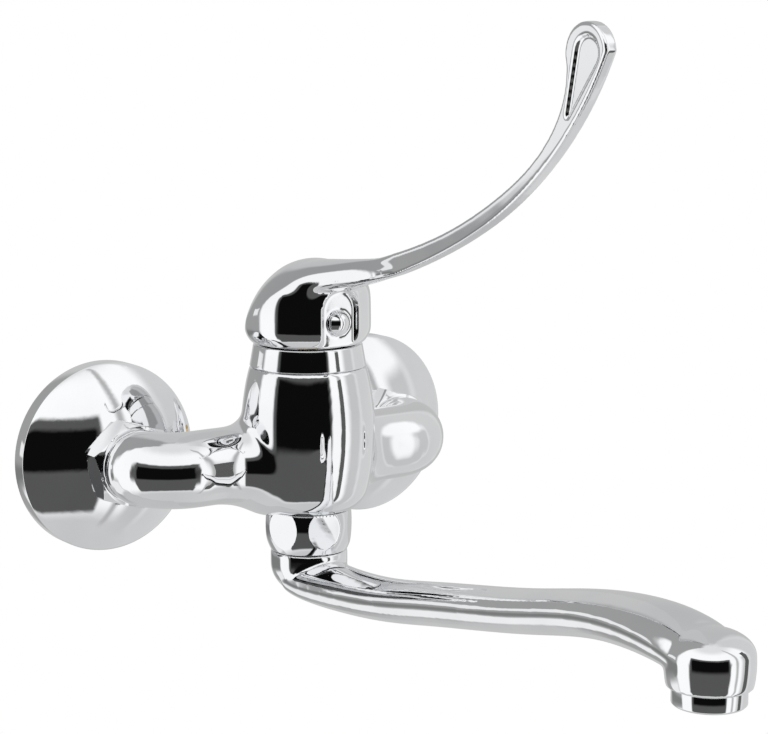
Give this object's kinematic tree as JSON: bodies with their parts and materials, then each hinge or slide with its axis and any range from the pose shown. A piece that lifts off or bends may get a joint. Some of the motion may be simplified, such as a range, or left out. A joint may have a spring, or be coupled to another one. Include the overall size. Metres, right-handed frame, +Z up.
{
  "type": "elbow lever tap",
  "caption": "Wall-mounted single-lever mixer tap: two wall unions with cover plates, long curved elbow lever, swivel spout with aerator.",
  "frame": {"origin": "midway between the two wall threads, on the wall plane", "axes": "+X to the right when facing the wall, +Y into the wall, +Z up"},
  "size_m": [0.2412, 0.3807, 0.2769],
  "materials": {
    "polished_chrome": "mirror polished",
    "brass": "machined",
    "white_acetal": "moulded",
    "ceramic": "lapped ceramic",
    "stainless_steel": "turned",
    "black_rubber": "matte"
  },
  "bodies": {
    "tap_body": {"mixer_body": "polished_chrome", "left_union_nut": "polished_chrome", "right_union_nut": "polished_chrome", "left_eccentric_union": "brass", "right_eccentric_union": "brass", "left_rosette": "polished_chrome", "right_rosette": "polished_chrome", "left_washer": "black_rubber", "right_washer": "black_rubber", "cartridge_base": "white_acetal", "cartridge_seals": "black_rubber", "fixed_disc": "ceramic", "cartridge_housing": "white_acetal", "cartridge_lock_nut": "brass", "collar_ring": "polished_chrome", "spout_nut": "polished_chrome", "spout_bush": "white_acetal"},
    "rotor": {"cartridge_rotor": "white_acetal", "pivot_pin": "stainless_steel"},
    "handle": {"lever_spindle": "brass", "lever_handle": "polished_chrome", "set_screw": "stainless_steel", "index_button": "polished_chrome"},
    "disc": {"moving_disc": "ceramic", "disc_carrier": "white_acetal"},
    "spout": {"spout": "polished_chrome", "spout_o_rings": "black_rubber", "spout_clip": "stainless_steel", "aerator_housing": "polished_chrome", "aerator_insert": "white_acetal", "aerator_washer": "black_rubber"}
  },
  "joints": [
    {"name": "handle_turn", "type": "hinge", "parent": "tap_body", "child": "rotor", "pos_m": [0, -0.068, 0.038], "axis": [0, 0, 1], "range_deg": [-45, 45]},
    {"name": "handle_lift", "type": "hinge", "parent": "rotor", "child": "handle", "pos_m": [0, -0.068, 0.038], "axis": [-1, 0, 0], "range_deg": [0, 25]},
    {"name": "disc_slide", "type": "slide", "parent": "rotor", "child": "disc", "axis": [0, -1, 0], "range_m": [0, 0.004]},
    {"name": "spout_swivel", "type": "hinge", "parent": "tap_body", "child": "spout", "pos_m": [0, -0.068, 0], "axis": [0, 0, 1], "range_deg": [-80, 80]}
  ],
  "couplings": [
    {"joint": "disc_slide", "follows": "handle_lift", "m_per_rad": 0.0085}
  ]
}
